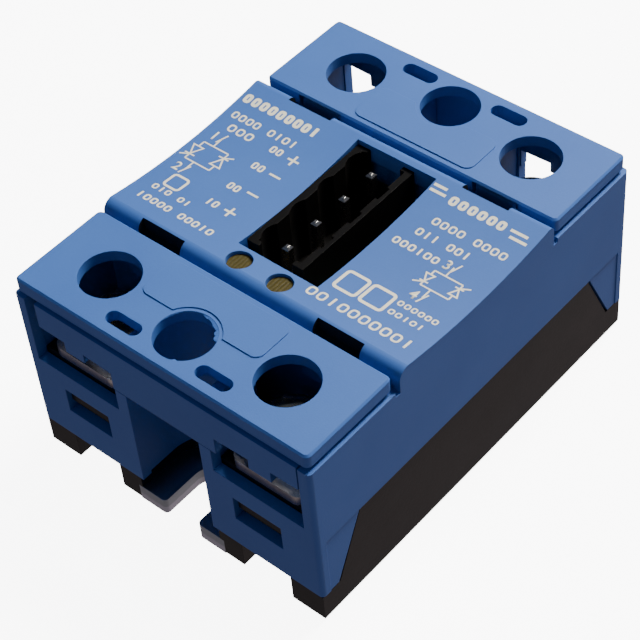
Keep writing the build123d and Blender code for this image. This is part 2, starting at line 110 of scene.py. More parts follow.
class Book:  # a node tree that makes its nodes from one method
    def node(self, kind, settings=None, inputs=None, output=0):
        made = self.tree.nodes.new(kind)
        for key, value in (settings or {}).items():
            setattr(made, key, value)
        for key, value in (inputs or {}).items():
            for one in value if isinstance(value, list) else [value]:
                if isinstance(one, Wire):
                    self.tree.links.new(one.socket, made.inputs[key])
                else:
                    made.inputs[key].default_value = one
        return Wire(self, made.outputs[output])

    def part(self, vector, axis):
        return self.node("ShaderNodeSeparateXYZ", None, {0: vector}, axis)

    def blend(self, mask, first, second):
        return self.node("ShaderNodeMix", {"data_type": "RGBA"},
                         {0: mask, 6: rgba(first), 7: rgba(second)}, 2)


def rgba(colour):
    return colour if isinstance(colour, Wire) else (*colour, 1.0)


edgeLook = {
    "samples": 4,
    "spread": 0.3,          # how far an edge has to turn before it counts as fully worn
}


class Paint(Book):  # one material; lengths in its patterns are in millimetres
    def __init__(self, name, **fixed):
        self.material = bpy.data.materials.new(name)
        self.material.use_nodes = True
        self.tree = self.material.node_tree
        self.shader = self.tree.nodes["Principled BSDF"]
        for socket, value in fixed.items():
            self.shader.inputs[socket.replace("_", " ")].default_value = value
        coordinates = self.node("ShaderNodeTexCoord", None, None, "Object")
        self.place = self.node("ShaderNodeVectorMath", {"operation": "SCALE"},
                               {0: coordinates, "Scale": 1.0 / mm}, "Vector")

    def stretched(self, amounts):
        return self.node("ShaderNodeVectorMath", {"operation": "MULTIPLY"},
                         {0: self.place, 1: amounts}, "Vector")

    def noise(self, scale, detail=2.0, roughness=0.5, vector=None):
        return self.node("ShaderNodeTexNoise", None,
                         {"Vector": vector or self.place, "Scale": scale,
                          "Detail": detail, "Roughness": roughness})

    def rounded(self, radius):
        return self.node("ShaderNodeBevel", {"samples": edgeLook["samples"]},
                         {"Radius": radius * mm})

    def edges(self, soft):  # 1 on worn edges, 0 on flats
        true = self.node("ShaderNodeNewGeometry", None, None, "Normal")
        facing = self.node("ShaderNodeVectorMath", {"operation": "DOT_PRODUCT"},
                           {0: soft, 1: true}, "Value")
        return (1.0 - facing).held(0.0, edgeLook["spread"])

    def relief(self, height, depth, under=None):
        inputs = {"Height": height, "Distance": depth * mm, "Strength": 1.0}
        if under is not None:
            inputs["Normal"] = under
        return self.node("ShaderNodeBump", None, inputs, "Normal")

    def clearFromBehind(self):  # seen from its back, the surface is not there
        behind = self.node("ShaderNodeNewGeometry", None, None, "Backfacing")
        clear = self.node("ShaderNodeBsdfTransparent")
        mixed = self.node("ShaderNodeMixShader", None,
                          {0: behind, 1: Wire(self, self.shader.outputs[0]), 2: clear})
        surface = self.tree.nodes["Material Output"].inputs["Surface"]
        self.tree.links.new(mixed.socket, surface)

    def feed(self, **links):
        for socket, value in links.items():
            self.tree.links.new(value.socket, self.shader.inputs[socket.replace("_", " ")])
        return self.material


# In every look below a noise is: scale per millimetre, detail, roughness.
mouldSkin = {  # what the three moulded plastics share
    "ior": 1.47,
    "cloud": (0.09, 3.0),
    "mottle": (3.2, 2.0),
    "cloudShare": 0.75,
    "tones": (0.35, 0.68),
    "grain": (1.0, 3.0, 0.6),   # these two scales are divided by the look's grain
    "speck": (2.2, 2.0, 0.6),
    "speckShare": 0.2,
    "scuff": (1.1, 4.0, 0.65),
    "scuffs": (0.38, 0.72),
    "drift": (0.25, 3.0),
    "speckRough": 0.10,
    "driftRough": 0.06,
}
shellPlastic = {
    "colour": (0.050, 0.143, 0.425),
    "shade": (0.043, 0.128, 0.395),
    "worn": (0.085, 0.200, 0.500),
    "wear": 0.35,
    "gloss": 0.42,
    "grain": 0.22,          # size of the eroded texture of the mould
    "grainDepth": 0.015,
    "edgeRadius": 0.09,
    "roughness": 0.56,
}
framePlastic = {
    "colour": (0.0062, 0.0074, 0.0090),
    "shade": (0.0030, 0.0036, 0.0044),
    "worn": (0.045, 0.043, 0.040),
    "wear": 0.55,
    "gloss": 0.26,
    "grain": 0.34,
    "grainDepth": 0.022,
    "edgeRadius": 0.10,
    "roughness": 0.46,
}
socketPlastic = {
    "colour": (0.0068, 0.0060, 0.0052),
    "shade": (0.0048, 0.0044, 0.0040),
    "worn": (0.110, 0.095, 0.060),
    "wear": 0.70,
    "gloss": 0.10,
    "grain": 0.30,
    "grainDepth": 0.004,
    "edgeRadius": 0.05,
    "roughness": 0.36,
}
# painted shade: the finger notches are coloured near-black and made dull, standing for the
# shadow of a deep slot into the dark inside
notchShadePaint = {
    "across": (10.10, 16.80),
    "along": (12.97, 14.12),
    "floor": 26.6,
    "colour": (0.002, 0.004, 0.009),
    "dulled": 0.5,
}


def notchShadeMask(paint, shadedNotch):  # 1 in the finger notches, where the shade of a deep slot is painted in
    across, along, up = (paint.part(paint.place, axis) for axis in "XYZ")
    plan = across.size().within(*shadedNotch["across"]) * along.size().within(*shadedNotch["along"])
    return plan * up.above(shadedNotch["floor"])


def mouldedPlastic(name, look, shadedNotch=None):
    skin = mouldSkin
    paint = Paint(name, IOR=skin["ior"], Specular_IOR_Level=look["gloss"])
    grainScale, *grainRest = skin["grain"]
    speckScale, *speckRest = skin["speck"]
    speck = paint.noise(speckScale / look["grain"], *speckRest)
    grain = paint.noise(grainScale / look["grain"], *grainRest)

    share = skin["cloudShare"]
    tone = paint.noise(*skin["cloud"]) * share + paint.noise(*skin["mottle"]) * (1.0 - share)
    colour = paint.blend(tone.held(*skin["tones"]), look["colour"], look["shade"])
    soft = paint.rounded(look["edgeRadius"])
    worn = paint.edges(soft) * paint.noise(*skin["scuff"]).held(*skin["scuffs"])
    colour = paint.blend(worn * look["wear"], colour, look["worn"])

    drift = paint.noise(*skin["drift"])
    rough = look["roughness"] + skin["speckRough"] * (speck - 0.5)
    rough = rough + skin["driftRough"] * (drift - 0.5)
    # painted shade: darkens and dulls the finger notches as if they opened into the dark inside
    if shadedNotch:
        notchShade = notchShadeMask(paint, shadedNotch)
        colour = paint.blend(notchShade, colour, shadedNotch["colour"])
        rough = rough + notchShade * shadedNotch["dulled"]

    share = skin["speckShare"]
    height = grain * (1.0 - share) + speck * share
    normal = paint.relief(height, look["grainDepth"], soft)
    return paint.feed(Base_Color=colour, Roughness=rough, Normal=normal)


plateMetal = {
    "colour": (0.50, 0.55, 0.60),
    "dark": (0.34, 0.38, 0.43),
    "sheared": (0.48, 0.46, 0.60),
    "thickness": 2.4,
    "roughness": 0.36,
    "lines": (1.0, 4.0, 0.65),
    "linesStretch": (9.0, 0.22, 1.0),       # nine brushed lines to a millimetre
    "linesShare": 0.55,
    "cloud": (0.16, 4.0, 0.6),
    "streaks": (1.0, 3.0, 0.6),
    "streaksStretch": (5.0, 5.0, 0.5),
    "ragged": (0.9, 3.0),
    "raggedHeight": 0.5,
    "torn": (0.52, 0.60),                   # where the shear tears, as shares of the thickness
    "upright": (0.3, 0.7),
    "linesRough": 0.22,
    "sideRough": 0.12,
    "cloudRough": 0.10,
    "linesHigh": 0.7,
    "streaksHigh": 0.6,
    "relief": 0.006,
    "edgeRadius": 0.12,
}


def brushedPlate(name, look):
    paint = Paint(name, Metallic=1.0)
    share = look["linesShare"]
    lines = paint.noise(*look["lines"], paint.stretched(look["linesStretch"]))
    streaks = paint.noise(*look["streaks"], paint.stretched(look["streaksStretch"]))
    cloud = paint.noise(*look["cloud"])
    top = paint.blend(lines * share + cloud * (1.0 - share), look["dark"], look["colour"])

    facing = paint.node("ShaderNodeNewGeometry", None, None, "Normal")
    side = 1.0 - paint.part(facing, "Z").size().held(*look["upright"])
    height = paint.part(paint.place, "Z") + paint.noise(*look["ragged"]) * look["raggedHeight"]
    torn = height.held(*(look["thickness"] * part for part in look["torn"]))
    cut = paint.blend(streaks, look["sheared"], look["colour"])
    colour = paint.blend(side, top, paint.blend(torn, cut, look["dark"]))

    rough = look["roughness"] + look["linesRough"] * (lines - 0.5)
    rough = rough + side * look["sideRough"] + look["cloudRough"] * (cloud - 0.5)
    height = lines * look["linesHigh"] + streaks * side * look["streaksHigh"]
    normal = paint.relief(height, look["relief"], paint.rounded(look["edgeRadius"]))
    return paint.feed(Base_Color=colour, Roughness=rough, Normal=normal)


plating = {  # what all the plated and bare metals share
    "cloud": (0.7, 4.0, 0.6),
    "dulled": (0.3, 0.75),
    "scratches": (1.0, 3.0, 0.7),
    "scratchStretch": (1.2, 14.0, 3.0),
    "scratchShare": 0.7,
    "patches": (1.6, 3.0, 0.55),
    "patched": (0.42, 0.75),
    "tintShare": 0.45,
    "cloudRough": 0.16,
    "scratchRough": 0.14,
    "edgeRadius": 0.08,
}
nickel = {
    "colour": (0.66, 0.63, 0.61), "dull": (0.46, 0.435, 0.42),
    "roughness": 0.30, "scratch": 0.004,
}
copperMetal = {
    "colour": (0.80, 0.36, 0.20), "dull": (0.52, 0.22, 0.12),
    "roughness": 0.32, "scratch": 0.003,
}
brassMetal = {
    "colour": (0.72, 0.52, 0.22), "dull": (0.48, 0.34, 0.14),
    "roughness": 0.34, "scratch": 0.004,
}
tinnedMetal = {
    "colour": (0.46, 0.43, 0.37), "dull": (0.26, 0.24, 0.21),
    "roughness": 0.26, "scratch": 0.003,
}
zincYellow = {
    "colour": (0.56, 0.48, 0.30), "dull": (0.32, 0.27, 0.18),
    "roughness": 0.26, "scratch": 0.003,
    "tint": (0.62, 0.46, 0.42),     # the faint rainbow of a yellow chromate
}


def platedMetal(name, look):
    paint = Paint(name, Metallic=1.0)
    share = plating["scratchShare"]
    cloud = paint.noise(*plating["cloud"])
    scratches = paint.noise(*plating["scratches"], paint.stretched(plating["scratchStretch"]))
    colour = paint.blend(cloud.held(*plating["dulled"]), look["colour"], look["dull"])
    if "tint" in look:
        patches = paint.noise(*plating["patches"]).held(*plating["patched"])
        colour = paint.blend(patches * plating["tintShare"], colour, look["tint"])
    rough = look["roughness"] + plating["cloudRough"] * (cloud - 0.5)
    rough = rough + plating["scratchRough"] * (scratches - 0.5)
    height = scratches * share + cloud * (1.0 - share)
    normal = paint.relief(height, look["scratch"], paint.rounded(plating["edgeRadius"]))
    return paint.feed(Base_Color=colour, Roughness=rough, Normal=normal)


lampWindow = {
    "colour": (0.092, 0.069, 0.011),
    "dark": (0.032, 0.025, 0.005),
    "fleck": (0.34, 0.28, 0.09),
    "ior": 1.5,
    "gloss": 0.25,
    "ridges": 13.0,         # moulded waves across the window, in radians per millimetre
    "wobble": (1.4, 2.0),
    "wobbleShare": 2.2,
    "clouds": (2.4, 4.0, 0.65),
    "cloudShare": 0.65,
    "flecks": (11.0, 2.0, 0.6),
    "flecked": (0.62, 0.74),
    "fleckShare": 0.7,
    "relief": 0.05,
    "reliefRidges": 0.4,
    "smooth": 0.25,         # roughness where there is no cloud
    "cloudRough": 0.3,
}


def frostedWindow(name, look):
    paint = Paint(name, IOR=look["ior"], Specular_IOR_Level=look["gloss"])
    wobble = paint.noise(*look["wobble"]) * look["wobbleShare"]
    ridges = (paint.part(paint.place, "X") * look["ridges"] + wobble).wave() * 0.5 + 0.5
    clouds = paint.noise(*look["clouds"])
    share = look["cloudShare"]
    tone = paint.blend(clouds * share + ridges * (1.0 - share), look["dark"], look["colour"])
    flecks = paint.noise(*look["flecks"]).held(*look["flecked"])
    colour = paint.blend(flecks * look["fleckShare"], tone, look["fleck"])
    share = look["reliefRidges"]
    normal = paint.relief(ridges * share + clouds * (1.0 - share), look["relief"])
    rough = look["smooth"] + look["cloudRough"] * clouds
    return paint.feed(Base_Color=colour, Roughness=rough, Normal=normal)


inkLook = {
    "colour": (0.92, 0.85, 0.62),
    "thin": (0.62, 0.64, 0.60),
    "pores": (5.2, 3.0, 0.6),
    "worn": (0.52, 0.74),
    "wornShare": 0.75,
    "ior": 1.45,
    "roughness": 0.52,
    "poreRough": 0.2,
    "relief": 0.006,
}


def padInk(name, look):
    paint = Paint(name, IOR=look["ior"])
    pores = paint.noise(*look["pores"])
    worn = pores.held(*look["worn"]) * look["wornShare"]
    colour = paint.blend(worn, look["colour"], look["thin"])
    rough = look["roughness"] + look["poreRough"] * (pores - 0.5)
    return paint.feed(Base_Color=colour, Roughness=rough,
                      Normal=paint.relief(pores, look["relief"]))


innerParts = {  # material name, colour, shade, roughness, scale of its clouds
    "board": ("boardSolderResist", (0.012, 0.105, 0.042), (0.018, 0.135, 0.055), 0.34, 0.6),
    "ceramic": ("substrateCeramic", (0.82, 0.81, 0.77), (0.74, 0.73, 0.70), 0.55, 1.6),
    "silicon": ("diePassivation", (0.10, 0.11, 0.14), (0.16, 0.17, 0.20), 0.22, 1.6),
    "chip": ("chipPackage", (0.018, 0.018, 0.019), (0.028, 0.028, 0.029), 0.50, 2.5),
    "capacitor": ("capacitorCase", (0.36, 0.055, 0.025), (0.30, 0.045, 0.022), 0.32, 1.6),
    "led": ("ledBody", (0.74, 0.70, 0.50), (0.66, 0.62, 0.42), 0.30, 1.6),
    "gel": ("pottingGel", (0.52, 0.52, 0.48), (0.46, 0.46, 0.43), 0.24, 0.5),
}
innerSkin = {  # what the hidden parts share
    "ior": 1.5,
    "cloud": (4.0, 0.6),    # detail and roughness; the scale is the part's own
    "tones": (0.3, 0.7),
    "finer": 4.0,           # how much finer the relief is than the clouds
    "reliefDetail": 3.0,
    "relief": 0.004,
    "edgeRadius": 0.06,
    "cloudRough": 0.1,
}


def cloudedSurface(name, colour, shade, roughness, scale):
    skin = innerSkin
    paint = Paint(name, IOR=skin["ior"])
    cloud = paint.noise(scale, *skin["cloud"])
    tone = paint.blend(cloud.held(*skin["tones"]), colour, shade)
    fine = paint.noise(scale * skin["finer"], skin["reliefDetail"])
    normal = paint.relief(fine, skin["relief"], paint.rounded(skin["edgeRadius"]))
    rough = roughness + skin["cloudRough"] * (cloud - 0.5)
    return paint.feed(Base_Color=tone, Roughness=rough, Normal=normal)


finishes = {
    "blue": mouldedPlastic("shellBluePlastic", shellPlastic),
    # the housing's plastic, with painted shade in its finger notches
    "notchShaded": mouldedPlastic("shellBlueNotchShade", shellPlastic, notchShadePaint),
    "black": mouldedPlastic("frameBlackPlastic", framePlastic),
    "socket": mouldedPlastic("socketBlackPlastic", socketPlastic),
    "plate": brushedPlate("plateBrushedMetal", plateMetal),
    "nickel": platedMetal("terminalNickel", nickel),
    "zinc": platedMetal("screwYellowZinc", zincYellow),
    "brass": platedMetal("nutBrass", brassMetal),
    "tin": platedMetal("pinTin", tinnedMetal),
    "copper": platedMetal("stackCopper", copperMetal),
    "lamp": frostedWindow("lampWindowResin", lampWindow),
    "ink": padInk("padPrintInk", inkLook),
}
for key, values in innerParts.items():
    finishes[key] = cloudedSurface(*values)

nodeFinish = {
    "housing": "notchShaded", "front_cap": "blue", "rear_cap": "blue",
    "base_frame": "black", "control_header": "socket", "baseplate": "plate",
    "terminal_nuts": "brass", "header_pins": "tin", "gate_leads": "tin",
    "bottom_copper": "copper", "top_copper": "copper", "cathode_clips": "copper",
    "light_pipe": "lamp", "status_leds": "led", "control_board": "board",
    "ceramic_tile_a": "ceramic", "ceramic_tile_b": "ceramic", "thyristor_dies": "silicon",
    "optocouplers": "chip", "chip_resistors": "chip", "snubber_capacitors": "capacitor",
    "potting_resin": "gel",
}
for corner in range(1, 5):
    nodeFinish[f"terminal_bar_{corner}"] = "nickel"
    nodeFinish[f"clamp_washer_{corner}"] = "nickel"
    nodeFinish[f"terminal_screw_{corner}"] = "zinc"

for name, finish in nodeFinish.items():
    slots = nodes[name].data.materials
    slots.clear()
    slots.append(finishes[finish])
print("stage: finishes on", len(nodeFinish), "nodes")


def showObject(name, data):
    shown = bpy.data.objects.new(name, data)
    bpy.context.scene.collection.objects.link(shown)
    return shown


def meshPiece(name, bm, finish):
    mesh = bpy.data.meshes.new(name)
    for face in bm.faces:
        face.material_index = 0
    bm.to_mesh(mesh)
    bm.free()
    mesh.materials.append(finishes[finish])
    return showObject(name, mesh)


def bakeTree(holder, name):  # the finished mesh of an object, without its tree or its text
    evaluated = holder.evaluated_get(bpy.context.evaluated_depsgraph_get())
    mesh = bpy.data.meshes.new_from_object(evaluated)
    mesh.name = name
    bpy.data.objects.remove(holder)
    return mesh


class Tree(Book):  # a geometry node tree with named inputs
    def __init__(self, name, **sizes):
        self.tree = bpy.data.node_groups.new(name, "GeometryNodeTree")
        sockets = self.tree.interface
        sockets.new_socket("Geometry", in_out="OUTPUT", socket_type="NodeSocketGeometry")
        self.ids = {}
        for label, value in sizes.items():
            kind = "NodeSocketInt" if isinstance(value, int) else "NodeSocketFloat"
            socket = sockets.new_socket(label, in_out="INPUT", socket_type=kind)
            socket.default_value = value
            self.ids[label] = socket.identifier
        self.entry = self.tree.nodes.new("NodeGroupInput")
        self.exit = self.tree.nodes.new("NodeGroupOutput")

    def sizes(self, *labels):
        return [Wire(self, self.entry.outputs[label]) for label in labels]

    def close(self, result, finish):
        real = self.node("GeometryNodeRealizeInstances", None, {0: result})
        dressed = self.node("GeometryNodeSetMaterial", None,
                            {0: real, "Material": finishes[finish]})
        self.tree.links.new(dressed.socket, self.exit.inputs[0])

    def run(self, name, **sizes):
        holder = showObject(name, bpy.data.meshes.new(name + "Seed"))
        modifier = holder.modifiers.new("tree", "NODES")
        modifier.node_group = self.tree
        for label, value in sizes.items():
            modifier[self.ids[label]] = value
        return bakeTree(holder, name)


printing = {  # lengths in millimetres
    "thickness": 0.030,
    "sunk": 0.012,
    "strip": 0.8,           # the dish is followed in strips this wide
    "merge": 0.002,
    "dropFrom": 50.0,
    "stroke": 0.24,
    "boldShare": 1.25,
    "thinShare": 0.85,
    "ringShare": 0.74,      # how many marks are rings; the others are single strokes
    "ringWidth": 0.80,      # of the pitch
    "ringCorner": 0.42,     # of the ring's width
    "barWidth": 1.1,        # of the stroke
    "barCorner": 0.3,
    "cornerSteps": 5,
    "firstSeed": 11,
    "rows": [  # x, y of the left end, length, height, marks, marks to a group, stroke
        (-22.0, 9.75, 12.2, 1.50, 9, 10, 0.44),
        (-21.4, 6.95, 10.6, 1.15, 9, 5, 0.24),
        (-20.3, 4.90, 4.2, 1.25, 3, 4, 0.26),
        (-20.4, -8.25, 6.2, 0.95, 6, 4, 0.22),
        (-20.8, -10.50, 13.4, 1.10, 12, 6, 0.24),
        (9.9, 10.10, 8.3, 1.40, 6, 7, 0.42),
        (10.2, 6.65, 10.8, 1.15, 9, 5, 0.24),
        (9.6, 4.35, 7.9, 1.15, 7, 4, 0.24),
        (8.2, 1.85, 6.8, 1.10, 6, 7, 0.24),
        (5.9, -10.75, 15.2, 1.45, 10, 11, 0.28),
        (15.15, -5.75, 5.8, 0.85, 6, 7, 0.20),
        (15.15, -7.45, 5.1, 0.85, 5, 6, 0.20),
        (-13.4, 5.00, 2.0, 1.15, 2, 3, 0.25),
        (-13.4, 1.65, 2.0, 1.15, 2, 3, 0.25),
        (-13.4, -2.70, 2.0, 1.15, 2, 3, 0.25),
        (-13.5, -6.35, 2.0, 1.15, 2, 3, 0.25),
    ],
    "signs": [  # x, y, whether it is a plus
        (-9.6, 5.45, True), (-9.7, 2.18, False), (-9.7, -1.8, False), (-9.73, -5.75, True),
    ],
    "signHalf": 0.85,
    "rules": [  # x, y, length
        (7.0, 11.76, 1.9), (7.0, 10.90, 2.3), (18.75, 10.90, 2.4), (19.2, 9.98, 2.4),
    ],
    "ruleStroke": 0.40,
    "numerals": [  # text, x, y
        ("1", -21.0, 2.70), ("2", -21.0, -4.05), ("3", 15.55, 1.95), ("4", 15.35, -3.95),
    ],
    "numeralSize": 2.0,
    "numeralWeight": 0.035,
    "numeralSteps": 6,
    "slash": [(1.35, -0.15), (1.95, 1.55)],     # the stroke after a numeral, from its corner
    "symbols": [(-18.85, 0.05, 1.75), (17.40, -0.25, 1.35)],        # x, y, half height
    "branch": 2.0,          # from a symbol's middle to each thyristor
    "triangle": 0.44,       # of the half height
    "gate": [0.1, 1.15, 0.75],                  # the gate's start, end and height
    "leadAside": 0.5,
    "leadEnd": 1.6,
    "squares": [  # x, y, half side, stroke
        (-18.4, -5.75, 1.15, 0.34), (9.30, -6.25, 1.55, 0.42), (13.05, -6.25, 1.55, 0.42),
    ],
    "squareCorner": 0.45,
    "squareSteps": 6,
}


def markTree(look):  # a row of plain outlined cells and single strokes, in groups
    tree = Tree("markRow", Length=10.0, Height=1.1, Marks=9, Group=5, Stroke=0.24, Seed=1)
    length, height, stroke = tree.sizes("Length", "Height", "Stroke")
    marks, group, seed = tree.sizes("Marks", "Group", "Seed")
    pitch = length / marks
    index = tree.node("GeometryNodeInputIndex")
    row = tree.node("GeometryNodeMeshLine", {"mode": "OFFSET"},
                    {"Count": marks, "Start Location": (0.0, 0.0, 0.0)})
    place = tree.node("ShaderNodeCombineXYZ", None, {0: (index + 0.5) * pitch, 1: 0.0, 2: 0.0})
    points = tree.node("GeometryNodeSetPosition", None, {0: row, "Position": place})

    def outline(width, tall, corner):
        plain = tree.node("GeometryNodeCurvePrimitiveQuadrilateral", None,
                          {"Width": width, "Height": tall})
        return tree.node("GeometryNodeFilletCurve", {"mode": "POLY"},
                         {0: plain, "Radius": corner, "Count": look["cornerSteps"]})

    wide = pitch * look["ringWidth"]
    corner = wide * look["ringCorner"]
    outer = outline(wide, height, corner)
    inner = outline(wide - stroke * 2.0, height - stroke * 2.0, corner - stroke)
    both = tree.node("GeometryNodeJoinGeometry", None, {0: [outer, inner]})
    ring = tree.node("GeometryNodeFillCurve", None, {0: both})
    upright = outline(stroke * look["barWidth"], height, stroke * look["barCorner"])
    bar = tree.node("GeometryNodeFillCurve", None, {0: upright})
    choice = [tree.node("GeometryNodeGeometryToInstance", None, {0: one})
              for one in (ring, bar)]
    shapes = tree.node("GeometryNodeJoinGeometry", None, {0: choice})
    pick = tree.node("FunctionNodeRandomValue", {"data_type": "BOOLEAN"},
                     {6: look["ringShare"], "ID": index, "Seed": seed}, 3)
    inGroup = (group - 1.5 - index.maths("MODULO", group)).above(0.0)
    made = tree.node("GeometryNodeInstanceOnPoints", None,
                     {0: points, "Selection": inGroup, "Instance": shapes,
                      "Pick Instance": True, "Instance Index": pick})
    tree.close(made, "ink")
    return tree


def addFlat(bm, mesh, x, y):
    start = len(bm.verts)
    bm.from_mesh(mesh)
    bm.verts.ensure_lookup_table()
    for vertex in bm.verts[start:]:
        vertex.co.x += x
        vertex.co.y += y
    bpy.data.meshes.remove(mesh)


mitreLimit = 0.35       # keeps the point of a sharp corner short


def addStroke(bm, points, width, closed=False):  # a flat ribbon along a line, corners mitred
    points = [Vector(point) for point in points]
    count = len(points)
    sides = []
    for i, here in enumerate(points):
        along = []
        if closed or i > 0:
            along.append((here - points[(i - 1) % count]).normalized())
        if closed or i < count - 1:
            along.append((points[(i + 1) % count] - here).normalized())
        mean = sum(along, Vector((0.0, 0.0))).normalized()
        across = Vector((-mean.y, mean.x))
        square = abs(across.dot(Vector((-along[0].y, along[0].x))))
        reach = across * (width / 2 / max(mitreLimit, square))
        sides.append([bm.verts.new((*side, 0.0)) for side in (here + reach, here - reach)])
    for i in range(count if closed else count - 1):
        (a, b), (c, d) = sides[i], sides[(i + 1) % count]
        bm.faces.new((a, b, d, c))


def addSquare(bm, look, x, y, half, width):  # a plain rounded square
    corner, steps = look["squareCorner"], look["squareSteps"]
    loop = []
    for quarter, (sx, sy) in enumerate([(1, 1), (-1, 1), (-1, -1), (1, -1)]):
        for i in range(steps + 1):
            turn = math.pi / 2 * (quarter + i / steps)
            loop.append((x + sx * (half - corner) + corner * math.cos(turn),
                         y + sy * (half - corner) + corner * math.sin(turn)))
    addStroke(bm, loop, width, True)


def addSymbol(bm, look, x, y, half, width):  # two thyristors back to back
    left, right, top, bottom = x - look["branch"], x + look["branch"], y + half, y - half
    tri = half * look["triangle"]
    gateStart, gateEnd, gateUp = look["gate"]
    for branch, way in ((left, -1), (right, 1)):
        base, tip = y - way * tri, y + way * tri
        bar = tip + way * width * 0.5
        start, end = (top, bottom) if way > 0 else (bottom, top)
        addStroke(bm, [(branch - tri, base), (branch + tri, base), (branch, tip)], width, True)
        addStroke(bm, [(branch - tri, bar), (branch + tri, bar)], width)
        addStroke(bm, [(branch + way * gateStart, tip + way * width),
                       (branch + way * gateEnd, tip + way * gateUp)], width)
        addStroke(bm, [(branch, tip + way * width), (branch, start)], width)
        addStroke(bm, [(branch, base - way * width * 0.5), (branch, end)], width)
    lead = x - look["leadAside"]
    for level, way in ((top, 1), (bottom, -1)):
        addStroke(bm, [(left, level), (right, level)], width)
        addStroke(bm, [(lead, level + way * width * 0.5), (lead, level + way * look["leadEnd"])],
                  width)


def numeralMesh(look, text):
    name = "numeral" + text
    font = bpy.data.curves.new(name, "FONT")
    font.body = text
    font.size = look["numeralSize"]
    font.offset = look["numeralWeight"]
    font.resolution_u = look["numeralSteps"]
    return bakeTree(showObject(name, font), name)


def drape(bm, look, underlay):  # lays flat shapes on the moulding below them
    bmesh.ops.triangulate(bm, faces=bm.faces)
    low = min(v.co.y for v in bm.verts)
    high = max(v.co.y for v in bm.verts)
    for step in range(1, int((high - low) / look["strip"]) + 1):
        bmesh.ops.bisect_plane(bm, geom=bm.verts[:] + bm.edges[:] + bm.faces[:],
                               plane_co=(0, low + step * look["strip"], 0), plane_no=(0, 1, 0))
    bmesh.ops.remove_doubles(bm, verts=bm.verts, dist=look["merge"])
    ground = BVHTree.FromObject(underlay, bpy.context.evaluated_depsgraph_get())
    for vertex in bm.verts:
        above = Vector((vertex.co.x, vertex.co.y, look["dropFrom"])) * mm
        hit = ground.ray_cast(above, Vector((0, 0, -1)))[0]
        vertex.co.z = hit.z / mm + look["thickness"] - look["sunk"]
    for face in bm.faces:
        if face.normal.z < 0:
            face.normal_flip()
    lower = bmesh.ops.extrude_face_region(bm, geom=bm.faces[:])
    for vertex in (g for g in lower["geom"] if isinstance(g, bmesh.types.BMVert)):
        vertex.co.z -= look["thickness"]
    bmesh.ops.recalc_face_normals(bm, faces=bm.faces)
    bmesh.ops.scale(bm, vec=(mm, mm, mm), verts=bm.verts)


def makePrinting(look):
    bm = bmesh.new()
    tree = markTree(look)
    for i, (x, y, length, height, marks, group, stroke) in enumerate(look["rows"]):
        mesh = tree.run(f"row{i}", Length=length, Height=height, Marks=marks, Group=group,
                        Stroke=stroke, Seed=look["firstSeed"] + i)
        addFlat(bm, mesh, x, y + height / 2)
    bold, thin = look["stroke"] * look["boldShare"], look["stroke"] * look["thinShare"]
    half = look["signHalf"]
    for x, y, isPlus in look["signs"]:
        addStroke(bm, [(x - half, y), (x + half, y)], bold)
        if isPlus:
            for way in (1, -1):
                addStroke(bm, [(x, y + way * bold / 2), (x, y + way * half)], bold)
    for x, y, length in look["rules"]:
        addStroke(bm, [(x, y), (x + length, y)], look["ruleStroke"])
    for text, x, y in look["numerals"]:
        addFlat(bm, numeralMesh(look, text), x, y)
        addStroke(bm, [(x + dx, y + dy) for dx, dy in look["slash"]], thin)
    for x, y, tall in look["symbols"]:
        addSymbol(bm, look, x, y, tall, thin)
    for x, y, side, stroke in look["squares"]:
        addSquare(bm, look, x, y, side, stroke)
    drape(bm, look, nodes["housing"])
    piece = meshPiece("padPrinting", bm, "ink")
    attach(piece, "relay_body")


makePrinting(printing)
print("stage: printing")


screwLook = {  # lengths in millimetres
    "centres": [(-13.45, -22.0), (13.45, -22.0), (-13.45, 22.0), (13.45, 22.0)],
    "major": 2.45,
    "minor": 2.10,
    "pitch": 0.8,
    "tip": 8.3,
    "seat": 19.3,
    "seatClear": 0.001,
    "merge": 0.0001,
    "headSunk": 0.25,       # how far the thread reaches into the head
    "lead": 1.2,            # the thread grows from nothing over this length at the tip
    "flank": (0.12, 0.90),
    "around": 40,
    "perTurn": 8,
    "sharp": 32,            # degrees
}


def threadTree(look, length):
    rows = int(length / look["pitch"] * look["perTurn"])
    tree = Tree("screwThread", Major=look["major"], Minor=look["minor"], Pitch=look["pitch"],
                Length=length, Lead=look["lead"])
    major, minor, pitch, tall, lead = tree.sizes("Major", "Minor", "Pitch", "Length", "Lead")
    rod = tree.node("GeometryNodeMeshCylinder", {"fill_type": "NGON"},
                    {"Vertices": look["around"], "Side Segments": rows,
                     "Radius": major, "Depth": tall})
    place = tree.node("GeometryNodeInputPosition")
    across, along, up = (tree.part(place, axis) for axis in "XYZ")
    angle = along.maths("ARCTAN2", across)
    phase = up / pitch - angle / (2 * math.pi)
    ramp = (phase.maths("FRACT") - 0.5).size() * 2.0     # 0 at the root, 1 at the crest
    climb = (up + tall * 0.5) / lead
    faded = ramp.held(*look["flank"]) * climb.held(0.0, 1.0)
    scale = (minor + (major - minor) * faded) / major
    factors = tree.node("ShaderNodeCombineXYZ", None, {0: scale, 1: scale, 2: 1.0})
    moved = tree.node("ShaderNodeVectorMath", {"operation": "MULTIPLY"},
                      {0: place, 1: factors}, "Vector")
    made = tree.node("GeometryNodeSetPosition", None, {0: rod, "Position": moved})
    tree.close(made, "zinc")
    return tree


